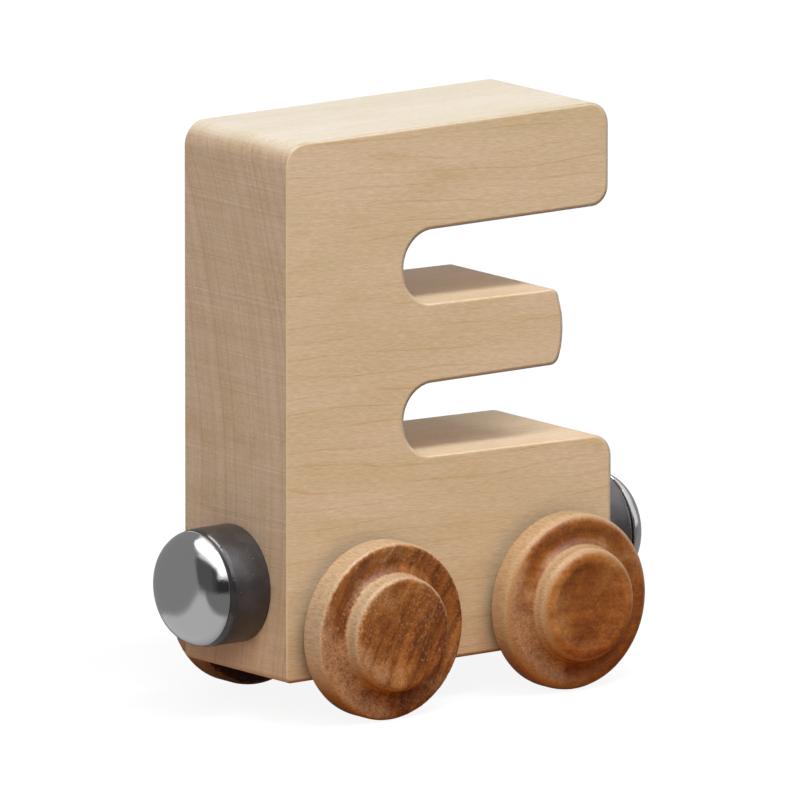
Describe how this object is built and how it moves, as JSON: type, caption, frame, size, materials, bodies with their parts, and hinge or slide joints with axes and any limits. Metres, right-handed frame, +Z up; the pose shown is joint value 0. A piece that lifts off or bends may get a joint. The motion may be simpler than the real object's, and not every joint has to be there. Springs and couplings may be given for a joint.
{
  "type": "letter train car",
  "caption": "Wooden block letter E on turned wheels, with a domed magnetic coupling on each end, for rolling and joining to other toy train cars.",
  "frame": {"origin": "on the ground under the middle of the car", "axes": "+Z up, X along the car with its front at -X, Y across it with the car's left, from which the letter reads, at -Y"},
  "size_m": [0.065, 0.0336, 0.0681],
  "materials": {
    "letter_wood": "fine sanded maple with a clear matt finish",
    "wheel_wood": "turned reddish brown hardwood, oiled",
    "ferrite": "satin charcoal ferrite",
    "cap_chrome": "polished",
    "steel": "plain drawn steel"
  },
  "bodies": {
    "car": {"letter_block": "letter_wood", "front_magnet": "ferrite", "front_cap": "cap_chrome", "front_nail": "steel", "rear_magnet": "ferrite", "rear_cap": "cap_chrome", "rear_nail": "steel"},
    "front_wheelset": {"front_axle": "steel", "front_left_wheel": "wheel_wood", "front_right_wheel": "wheel_wood"},
    "rear_wheelset": {"rear_axle": "steel", "rear_left_wheel": "wheel_wood", "rear_right_wheel": "wheel_wood"}
  },
  "joints": [
    {"name": "front_axle_spin", "type": "hinge", "parent": "car", "child": "front_wheelset", "pos_m": [-0.01205, 0, 0.0104], "axis": [0, 1, 0], "continuous": true},
    {"name": "rear_axle_spin", "type": "hinge", "parent": "car", "child": "rear_wheelset", "pos_m": [0.01535, 0, 0.0104], "axis": [0, 1, 0], "continuous": true}
  ]
}
